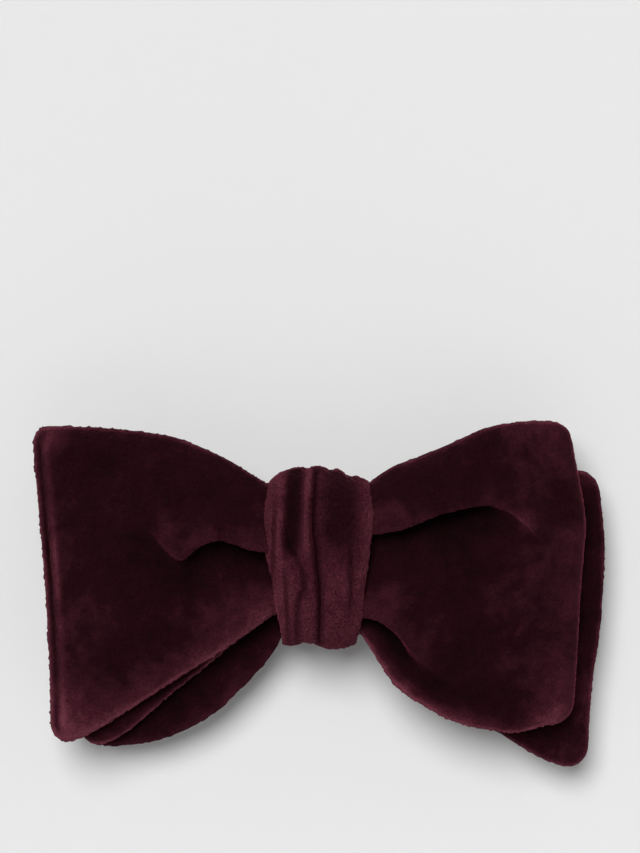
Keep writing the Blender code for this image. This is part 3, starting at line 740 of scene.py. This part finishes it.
# Front right: a folded loop with two tucks from the knot.
front_right = Lobe(
    side=1,
    top=[(3, 20.5), (7, 21.2), (11.2, 23.9), (14.2, 26), (21.1, 28.8), (28, 31.7), (35.2, 34.8),
         (40.6, 35.8), (48.4, 36.2), (56, 36.2)],
    bottom=[(3, -4.5), (6, -5.6), (8.1, -7.6), (11.2, -12.4), (15.4, -18.7), (21.1, -22.9), (28, -26.5),
            (35.2, -28.2), (40.6, -28.7), (48.4, -26.9), (56, -25.5)],
    outer=[(-40, 52.8), (-23.7, 53.0), (-11.8, 53.7), (-1.3, 54.3), (9.2, 55.1), (14.1, 55.5),
           (18.3, 55.1), (23.9, 54.1), (29.6, 53.0), (40, 51.6)],
    corners=(3.4, 3.0), folded=True)
FRONT_RIGHT_UPPER = Fold(
    line=[(6, 12.6), (11, 13.4), (16.3, 14.5), (20.5, 16.2), (23.8, 17.6), (28, 18.5), (33.7, 18.9),
          (37.3, 18.1), (42.1, 14.9), (47, 9), (51, 2)],
    size=[(3, 0.6), (10, 0.75), (28, 1.0), (35, 0.8), (40, 0.38), (44, 0.12), (49, 0)],
    lap=[(3, 0.5), (10, 0.9), (28, 1.0), (33, 0.7), (37, 0.2), (40, 0)],
    rise=2.6, depth=4.8, over=2.6, above=6.5, below=9.0)
FRONT_RIGHT_LOWER = Fold(
    line=[(6, -4.2), (9.6, -4.4), (12.7, -5.0), (15.4, -7.2), (18.4, -11.0), (22.6, -15.0), (28, -18)],
    size=[(3, 0.6), (10, 1.0), (15, 1.0), (19, 0.6), (23, 0.2), (28, 0)],
    lap=[(3, 0.5), (10, 1.0), (15, 0.9), (19, 0.25), (22, 0)],
    rise=2.0, depth=3.6, over=1.9, above=6.0, below=3.8, lit=0.34, painted_shade=0.38)
FRONT_RIGHT_HOLLOW = Hollow(
    line=[(9, -6.5), (13, -10.5), (17, -15), (21, -18), (26.7, -20.4), (34, -21.8), (42, -21.5),
          (50, -20)],
    size=[(8, 0), (13, 0.5), (19, 1.0), (30, 0.9), (40, 0.6), (48, 0)], depth=2.8, width=4.2, painted_shade=0.24)
loop("front_right_loop", front_right, front_right, Cloth(
    height=[(3, 14.0), (9, 14.6), (16, 15.6), (30, 16.4), (46, 16.2), (56, 15.6)],
    crown=(3.2, 24), edge=(5.5, 2.8),
    folds=[FRONT_RIGHT_UPPER, FRONT_RIGHT_LOWER, FRONT_RIGHT_HOLLOW],
    edge_wear_and_highlight=((0.42, 2.8), (0.26, 4.5), (0.04, 2.0)),
    crush_and_light_patches=[(40.5, 8.2, 3.0, 0.16), (43, 15.5, 3.2, 0.20), (50, -20, 8, 0.10), (50, 30, 6, 0.06),
             (16, 1, 6, 0.14), (27, 27, 8, -0.12), (30, 8, 9, -0.08), (30, -12, 8, -0.06),
             (10.5, -11.5, 2.4, 0.22), (13.5, -15.8, 2.8, 0.26), (17.5, -20.0, 2.8, 0.26),
             (22.5, -23.2, 2.8, 0.22), (28, -25.5, 2.8, 0.14)]),
    back_level=12.6, seed=71, counts=(200, 250, 18, 50))


# ---------------- knot
KNOT_LOW, KNOT_HIGH = (np.array(c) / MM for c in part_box("knot_wrap"))
KNOT_Y, KNOT_Z = (KNOT_LOW[1] + KNOT_HIGH[1]) / 2, (KNOT_LOW[2] + KNOT_HIGH[2]) / 2
KNOT_HALF_Z = (KNOT_HIGH[2] - KNOT_LOW[2]) / 2
WRAP_DEPTH, PAD_DEPTHS = 0.9, (1.1, 2.9)    # of the wrap's inside and the felt, below the knot's surface
# The outline of the knot's front: how far it reaches to each side for a y, and up and down for an x.
KNOT_LEFT = curve([(-11, 7.9), (-9.3, 8.1), (-3.8, 9.4), (1.7, 9.9), (6.4, 10.9), (12.7, 11.8),
                   (22.5, 11.5), (27, 10.6)])
KNOT_RIGHT = curve([(-11, 7.6), (-8.2, 8.5), (-1.3, 9.1), (5.7, 10.0), (12.8, 10.6), (20.4, 11.3),
                    (23.3, 11.0), (27, 10.2)])
KNOT_TOP = curve([(-11.5, 22.4), (-9.5, 24.5), (-5.9, 26.2), (-3.5, 26.4), (-2.6, 26.2), (-1.3, 26.7),
                  (0.4, 26.6), (2.0, 25.9), (3.7, 26.1), (6.1, 24.6), (7.8, 24.6), (9.5, 23.8),
                  (11.5, 22.6)])
KNOT_BOTTOM = curve([(-9.5, -8.6), (-8.0, -10.2), (-2.9, -10.2), (-1.3, -10.4), (0.1, -11.0),
                     (5.6, -11.1), (7.8, -10.1), (9.2, -8.8)])


def bump_across(offset, width, sharp=2.0):
    """A ridge of height 1 along a line, from the distance to the line."""
    return np.exp(-np.abs(offset / width) ** sharp)


def knot_pleats(x, y):
    """Height of the pleats that run down the knot's front, and their tone with painted highlight and
    shade.
    """
    main = curve([(-12, -0.2), (-8, -0.1), (0, 0.0), (8, -0.7), (14, -1.35), (24, -0.95), (28, -0.8)])(y)
    upper = smoothstep(6, 12, y)
    middle = smoothstep(-8, 0, y) * smoothstep(24, 16, y)
    ridge = bump_across(x - main + 1.7, 1.2)
    crease = bump_across(x - main, 0.6, 1.6)
    hollow = upper * bump_across(x + 5.7 - 0.06 * (y - 14), 1.75, 3.0)
    panel = bump_across(x + 8.9, 1.7, 2.4)
    left_crease = middle * bump_across(x + 10.0 - 0.03 * y, 0.45)
    slant = curve([(-12, -4.6), (-2, -4.4), (3, -3.2), (8, -5.0), (11, -6.6), (28, -7.4)])(y)
    slant_crease = smoothstep(13, 9, y) * bump_across(x - slant, 0.6)
    swell = bump_across(x - 4.0, 3.4, 2.6)
    right_crease = smoothstep(13, 6, y) * smoothstep(-6, 0, y) * bump_across(x - 6.4, 0.55)
    edge_roll = bump_across(x - 9.2, 1.5)
    low_crease = smoothstep(8, 0, y) * bump_across(x + 7.0 + 0.04 * y, 0.5)
    height = (0.9 * upper * ridge - 1.9 * crease - 2.0 * hollow + 0.8 * panel - 0.8 * left_crease
              - 0.8 * slant_crease + 0.7 * swell - 0.7 * right_crease + 0.3 * edge_roll - 0.6 * low_crease)
    # Painted shade in the creases, the hollow and across the upper middle, painted highlight on the
    # ridges, panel and edge roll, and painted light towards the bottom.
    dark_top = smoothstep(4, 14, y) * bump_across(x - 4.2, 4.6, 3.0)
    nap = (0.65 + 0.10 * upper * ridge - 0.36 * crease - 0.52 * hollow + 0.06 * panel - 0.22 * left_crease
           - 0.18 * slant_crease - 0.34 * dark_top - 0.2 * right_crease + 0.08 * edge_roll
           - 0.14 * low_crease + 0.05 * smoothstep(-2, -9, y))
    return height, nap


def knot_surface(angles, across, depth):
    """Points of the knot, depth mm inside it, in rings along the angles, and their tone and painted light.
    """
    c, s = np.cos(angles)[:, None], np.sin(angles)[:, None]
    power = np.where(s >= 0, 2.35, 6.0)
    unit_y, unit_z = (np.sign(part) * np.abs(part) ** (2 / power) for part in (c, s))
    rough_y = KNOT_Y + np.where(unit_y > 0, KNOT_HIGH[1] - KNOT_Y, KNOT_Y - KNOT_LOW[1]) * unit_y
    x = across * (np.where(across < 0, KNOT_LEFT(rough_y), KNOT_RIGHT(rough_y)) - 0.8 * depth)
    front = smoothstep(-0.15, 0.35, unit_z)
    height, nap = knot_pleats(x, rough_y + 0 * x)
    fade = 1 - np.abs(across) ** 6
    edge = 3.2 * np.abs(across) ** 5 * (0.35 + 0.65 * front)
    height = height * (0.2 + 0.8 * front) * fade * (1 - 0.1 * depth) - edge - depth
    reach = np.where(unit_y > 0, KNOT_TOP(x) - KNOT_Y, KNOT_Y - KNOT_BOTTOM(x))
    y = KNOT_Y + (reach - depth + 0.3 * height * front * np.abs(unit_z)) * unit_y
    z = KNOT_Z + (KNOT_HALF_Z + height) * unit_z
    # The knot's sides get a painted highlight.
    return np.stack([x, y, z], axis=-1), nap + 0.10 * np.abs(across) ** 8


def ring_mesh(name, outer, inner, nap, inner_nap):
    """A closed band: rings of points, joined round and round."""
    ring = np.concatenate([outer, inner[:, ::-1]], axis=1)
    index = np.arange(ring.shape[0] * ring.shape[1]).reshape(ring.shape[:2])
    down = np.roll(index, -1, axis=0)
    faces = np.stack([index, down, np.roll(down, -1, axis=1), np.roll(index, -1, axis=1)], axis=-1)
    return make_mesh(name, ring.reshape(-1, 3) * MM, faces.reshape(-1, 4),
                     nap=np.concatenate([nap, inner_nap[:, ::-1]], axis=1))


def knot():
    """The velvet wrap, a band round the waist with its front in pleats, over a pad of felt."""
    angles = math.tau * np.linspace(0, 1, 300, endpoint=False)
    outer, nap = knot_surface(angles, np.sin(np.linspace(-1, 1, 170) * math.pi / 2)[None, :], 0.0)
    inner, inner_nap = knot_surface(angles, np.linspace(-0.96, 0.96, 30)[None, :], WRAP_DEPTH)
    wrapped = np.concatenate([outer[-2:], outer, outer[:2]])
    outer = with_pile(wrapped, 91, np.full(wrapped.shape[:2], 2.0), 0.16)[2:-2]
    mesh = ring_mesh("knot_velvet", outer, inner, nap, inner_nap)
    wrap = add_piece("knot_velvet", mesh, KNOT_VELVET, "bow", ("knot_wrap",))
    front = np.radians(np.linspace(40, 140, 80))
    across = np.linspace(-0.82, 0.82, 60)[None, :]
    pad = closed_sheet("knot_felt", *(knot_surface(front, across, depth)[0] for depth in PAD_DEPTHS))
    felt = add_piece("knot_felt", pad, FELT, "bow", ("knot_wadding",))


knot()

# ---------------- neckband
JOINTS = {joint["name"]: joint for joint in frame["joints"]}


def centre(node):
    low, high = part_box(node)
    return (np.array(low) + np.array(high)) / 2 / MM


def size_of(node):
    low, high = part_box(node)
    return np.array(high) - np.array(low)


def joint_at(name):
    return np.array(JOINTS[name]["pos_m"]) / MM


class Lane:
    """A straight run of the neckband: s along it, t across it."""

    def __init__(self, start, along):
        self.start = np.array([start[0], start[1], 0.0])
        self.along = np.array(along, float)
        self.across = np.array([-along[1], along[0], 0.0])

    def point(self, s, t, z):
        return self.start + self.along * s + self.across * t + np.array([0, 0, z])

    def reach(self, place):
        """How far along the lane a place lies."""
        return float((np.array(place) - self.start) @ self.along)


BAND_THICK = size_of("return_band")[2] / MM
BAND_HALF = size_of("neckband_center")[1] / 2 / MM
STITCH_IN = 1.4             # the running stitch lies this far inside the band's edges
STITCH_LENGTH, STITCH_R, TACK_R = 1.9, 0.13, 0.2
RUN_GAP = 1.0               # the turns reach this far along the runs
BAND_Z, FLOOR_Z, UPPER_Z = (float(centre(node)[2])
                            for node in ("neckband_center", "return_band", "right_band"))
LEFT_FOLD, RIGHT_FOLD = joint_at("left_band_fold"), joint_at("right_band_fold")
STRAP_AXIS = np.array(JOINTS["strap_extension"]["axis"])
MIDDLE_LANE = Lane((0, LEFT_FOLD[1]), (1, 0, 0))
LEFT_LANE = Lane(LEFT_FOLD, -STRAP_AXIS)
RIGHT_LANE = Lane(RIGHT_FOLD, STRAP_AXIS)
EYE_S, BAR_Z = LEFT_LANE.reach(joint_at("eye_pivot")), float(joint_at("eye_pivot")[2])
HOOK_S = RIGHT_LANE.reach(joint_at("hook_pivot"))
SLIDER_S = RIGHT_LANE.reach(centre("slider"))
LOOP_R = UPPER_Z - BAR_Z    # centre line of the band round the bars of hook and eye
TAIL_Z = FLOOR_Z + BAND_THICK + 0.3
EYE_TAIL = 13.0             # lengths of the sewn-down ends, from their bars
SLIDER_TAIL = 9.0
SLIDER_LOOP_R = 1.2         # centre line of the band round the slider's bar
LEG = 4.0                   # length of the legs of the hook's loop
END_GAP = 0.2               # between the return run and the hook's loop


def resample(points, step):
    """Points at even steps along a line of points."""
    points = np.array(points, float)
    length = lengths_along(points)
    places = np.linspace(0, length[-1], max(int(length[-1] / step), 4))
    return np.stack([np.interp(places, length, column) for column in points.T], axis=-1)


def arc(s, z, radius, start, end, steps=16):
    """Points (s, z) of a circle between two angles in degrees, 0 along +s and 90 along +z."""
    angles = np.radians(np.linspace(start, end, steps + 1))
    return list(zip(s + radius * np.cos(angles), z + radius * np.sin(angles)))


def tube(name, points, radius, sides=6):
    """A round thread along points (mm), with its ends drawn in."""
    ahead = unit(np.gradient(points, axis=0))
    aside = unit(np.cross(ahead, [0.31, 0.17, 0.94]))
    up = np.cross(aside, ahead)
    turns = math.tau * np.arange(sides) / sides
    size = np.full(len(points), radius)
    size[[0, -1]] *= 0.5
    ring = (points[:, None] + size[:, None, None] * (aside[:, None] * np.cos(turns)[None, :, None]
                                                     + up[:, None] * np.sin(turns)[None, :, None]))
    index = np.arange(len(points) * sides).reshape(-1, sides)
    around = np.roll(index, -1, axis=1)
    wall = np.stack([index[:-1], index[1:], around[1:], around[:-1]], axis=-1).reshape(-1, 4)
    first, last = index[0], index[-1]
    caps = [[first[k] for k in (0, 1, 2, 3)], [first[k] for k in (0, 3, 4, 5)],
            [last[k] for k in (3, 2, 1, 0)], [last[k] for k in (5, 4, 3, 0)]]
    return make_mesh(name, ring.reshape(-1, 3) * MM, np.concatenate([wall, caps]))


def ribbon(name, centres, across, body):
    """A length of neckband along its centre line, with a running stitch along both edges.

    across holds the direction across the band at each point. Returns the pieces, for those that bend.
    """
    up = unit(np.cross(np.gradient(centres, axis=0), across))
    t = BAND_HALF * np.sin(np.linspace(-1, 1, 21) * math.pi / 2)
    seam = np.exp(-((np.abs(t) - BAND_HALF + STITCH_IN) / 0.35) ** 2)
    thick = BAND_THICK / 2 * (0.35 + 0.65 * np.sqrt(1 - np.abs(t / BAND_HALF) ** 6)) - 0.10 * seam
    flat = centres[:, None] + across[:, None] * t[None, :, None]
    offset = up[:, None] * thick[None, :, None]
    along = lengths_along(centres)
    mesh = closed_sheet(name + "_ribbon", flat + offset, flat - offset,
                        along=along[:, None] + 0 * t, across=t + 0 * along[:, None])
    pieces = [add_piece(name + "_ribbon", mesh, RIBBON, body, (name,))]
    fine = resample(np.concatenate([centres, across, up, along[:, None]], axis=1), 0.45)
    weave = (BAND_THICK / 2 - 0.02) * np.sin(math.pi * fine[:, 9:] / STITCH_LENGTH)
    for label, side in (("a", -1), ("b", 1)):
        thread = fine[:, :3] + side * (BAND_HALF - STITCH_IN) * fine[:, 3:6] + weave * fine[:, 6:9]
        stitch = f"{name}_stitch_{label}"
        pieces.append(add_piece(stitch, tube(stitch, thread, STITCH_R), THREAD, body, ()))
    return pieces


def run(name, lane, path, body):
    """A ribbon along (s, z) points of a lane."""
    path = resample(path, 0.6)
    centres = np.array([lane.point(s, 0, z) for s, z in path])
    return ribbon(name, centres, np.tile(lane.across, (len(centres), 1)), body)


def turn_over(name, fold, side, lane_across, top_z, low_z):
    """The ribbon where it turns back on itself, from the run through the knot to its own lane.
    """
    share = np.linspace(0, 1, 60)[:, None]
    angle = math.pi * share
    across = unit(MIDDLE_LANE.across * (1 - share) + lane_across * share)
    out = np.cross(across, [0, 0, 1]) * side
    centres = (np.array([fold[0], fold[1], (top_z + low_z) / 2])
               + (top_z - low_z) / 2 * (out * np.sin(angle) + np.array([0, 0, 1]) * np.cos(angle)))
    lead_in = centres[0] - [side * RUN_GAP, 0, 0]
    lead_out = centres[-1] - out[-1] * RUN_GAP
    centres = np.concatenate([[lead_in], centres, [lead_out]])
    across = np.concatenate([across[:1], across, across[-1:]])
    for piece in ribbon(name, centres, across, None):
        if side < 0:
            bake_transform(piece)
        else:
            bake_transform(piece)


def neckband():
    half_run = RIGHT_FOLD[0] - RUN_GAP
    run("neckband_center", MIDDLE_LANE, [(-half_run, BAND_Z), (half_run, BAND_Z)], "bow")
    turn_over("left_band_turn", LEFT_FOLD, -1, LEFT_LANE.across, BAND_Z, FLOOR_Z)
    turn_over("right_band_turn", RIGHT_FOLD, 1, -RIGHT_LANE.across, BAND_Z, UPPER_Z)

    down = EYE_TAIL * 0.3
    run("left_band", LEFT_LANE,
        [(RUN_GAP, FLOOR_Z), (EYE_S - 2, FLOOR_Z)] + arc(EYE_S, BAR_Z, LOOP_R, -90, 90)
        + [(EYE_S - down, (BAR_Z + LOOP_R + TAIL_Z) / 2), (EYE_S - EYE_TAIL / 2, TAIL_Z),
           (EYE_S - EYE_TAIL, TAIL_Z)],
        "left_band")

    leg_end = HOOK_S - LEG
    for piece in run("right_band", RIGHT_LANE, [(RUN_GAP, UPPER_Z), (leg_end, UPPER_Z)], None):
        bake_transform(piece)
    run("hook_loop", RIGHT_LANE,
        [(leg_end, UPPER_Z)] + arc(HOOK_S, BAR_Z, LOOP_R, 90, -90) + [(leg_end, FLOOR_Z)], "hook_loop")

    wrap_end = SLIDER_S + LEG + 1.0
    run("slider_band_end", RIGHT_LANE,
        [(wrap_end, FLOOR_Z)] + arc(SLIDER_S, FLOOR_Z + SLIDER_LOOP_R, SLIDER_LOOP_R, -90, -270)
        + [(SLIDER_S + SLIDER_TAIL * 0.35, TAIL_Z + 0.5), (SLIDER_S + SLIDER_TAIL * 0.55, TAIL_Z),
           (SLIDER_S + SLIDER_TAIL, TAIL_Z)], "slider")
    path = [(wrap_end, FLOOR_Z), (leg_end - END_GAP, FLOOR_Z)]
    for piece in run("return_band", RIGHT_LANE, path, "slider"):
        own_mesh(piece)


def zigzag(name, lane, s, z, length, reach, count, body):
    """A dense zigzag of thread across a band, in place of its plain CAD thread."""
    k = np.linspace(0, count, count * 8 + 1)
    swing = np.arcsin(0.94 * np.cos(math.pi * k)) / math.asin(0.94)
    points = np.array([lane.point(s + reach * aside, length * (turn / count - 0.5), z)
                       for turn, aside in zip(k, swing)])
    add_piece(name + "_thread", tube(name + "_thread", points, TACK_R), THREAD, body, (name,))


WELD_REACH, EDGE_WIDTH, EDGE_ANGLE = 0.00001, 0.00018, 35   # of softened metal edges: metres, degrees


def fittings():
    """The hook, the eye and the slider, with their edges softened, and the last threads."""
    for name in ("eye", "hook", "slider"):
        node = nodes[name]
        weld = node.modifiers.new("weld", "WELD")
        weld.merge_threshold = WELD_REACH
        bevel = node.modifiers.new("edges", "BEVEL")
        bevel.width = EDGE_WIDTH
        bevel.segments = 3
        bevel.limit_method = "ANGLE"
        bevel.angle_limit = math.radians(EDGE_ANGLE)
        node.data.materials.clear()
        node.data.materials.append(METAL)
    for name, lane, s, body in (("eye_bar_tack", LEFT_LANE, EYE_S - EYE_TAIL + 3, "left_band"),
                                ("slider_bar_tack", RIGHT_LANE, SLIDER_S + SLIDER_TAIL - 2, "slider")):
        zigzag(name, lane, s, centre(name)[2], 9.0, 0.8, 22, body)
    seam = centre("knot_back_seam")
    across_knot = Lane((0, seam[1]), (0, 1, 0))
    zigzag("knot_back_seam", across_knot, 0, seam[2], 17.0, 1.1, 30, "bow")
    for name, material in (("waist_core", VELVET), ("waist_binding", THREAD)):
        nodes[name].data.materials.clear()
        nodes[name].data.materials.append(material)


neckband()
fittings()
